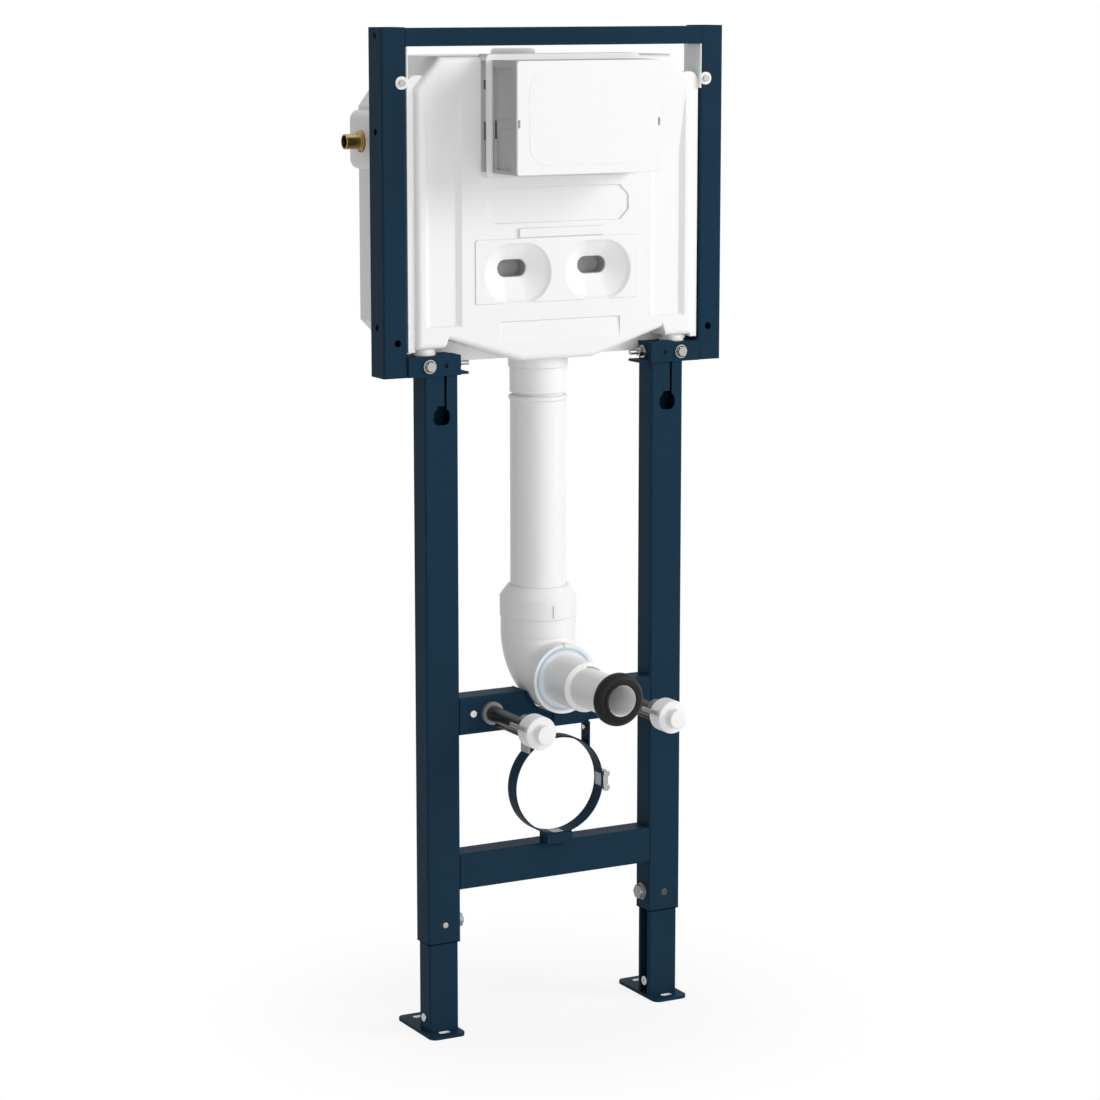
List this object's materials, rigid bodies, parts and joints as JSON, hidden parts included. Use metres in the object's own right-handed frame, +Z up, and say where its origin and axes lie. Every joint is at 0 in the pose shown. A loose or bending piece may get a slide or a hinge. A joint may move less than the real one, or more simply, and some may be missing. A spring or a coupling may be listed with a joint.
{
  "type": "wall hung toilet frame",
  "caption": "Steel installation frame for a wall hung pan, with telescopic feet, a concealed cistern, flush pipe and elbow, pan studs and a waste hoop.",
  "frame": {"origin": "on the floor, in the middle of the four floor slots", "axes": "+X to the right seen from the front, +Y towards the wall, +Z up"},
  "size_m": [0.4642, 0.289, 1.215],
  "materials": {
    "navy_paint": "satin powder coat over steel",
    "zinc_plate": "bright zinc plating",
    "black_plastic": "matt moulded plastic",
    "white_plastic": "satin moulded plastic",
    "grey_plastic": "satin moulded plastic",
    "black_rubber": "matt rubber",
    "blue_seal": "pale blue lip seal, slightly clear",
    "brass": "turned brass"
  },
  "bodies": {
    "frame": {"upper_post_left": "navy_paint", "upper_post_right": "navy_paint", "top_rail": "navy_paint", "bracket_left": "navy_paint", "bracket_right": "navy_paint", "leg_left": "navy_paint", "leg_right": "navy_paint", "mid_rail": "navy_paint", "lower_rail": "navy_paint", "hoop_brackets": "navy_paint", "elbow_saddle": "navy_paint", "waste_hoop": "navy_paint", "bracket_bolts_left": "zinc_plate", "bracket_bolts_right": "zinc_plate", "clamp_bolt_left": "zinc_plate", "clamp_bolt_right": "zinc_plate", "leg_buttons": "zinc_plate", "stud_left": "zinc_plate", "stud_right": "zinc_plate", "clip_screws": "zinc_plate", "stud_sleeve_left": "black_plastic", "stud_sleeve_right": "black_plastic", "cistern": "white_plastic", "access_box": "white_plastic", "access_lid": "white_plastic", "air_cap": "white_plastic", "outlet_nut": "white_plastic", "flush_pipe": "white_plastic", "flush_elbow": "white_plastic", "stud_cap_left": "white_plastic", "stud_cap_right": "white_plastic", "tank_pads": "white_plastic", "post_clip_left": "white_plastic", "post_clip_right": "white_plastic", "flush_connector": "grey_plastic", "inlet_gasket": "grey_plastic", "outlet_seal": "black_rubber", "elbow_seal": "blue_seal", "inlet_union": "brass"},
    "left_foot": {"foot_tube_left": "navy_paint", "foot_plate_left": "navy_paint", "foot_bolt_left": "zinc_plate"},
    "right_foot": {"foot_tube_right": "navy_paint", "foot_plate_right": "navy_paint", "foot_bolt_right": "zinc_plate"}
  },
  "joints": [
    {"name": "left_foot_slide", "type": "slide", "parent": "frame", "child": "left_foot", "axis": [0, 0, 1], "range_m": [-0.117, 0.083]},
    {"name": "right_foot_slide", "type": "slide", "parent": "frame", "child": "right_foot", "axis": [0, 0, 1], "range_m": [-0.117, 0.083]}
  ]
}
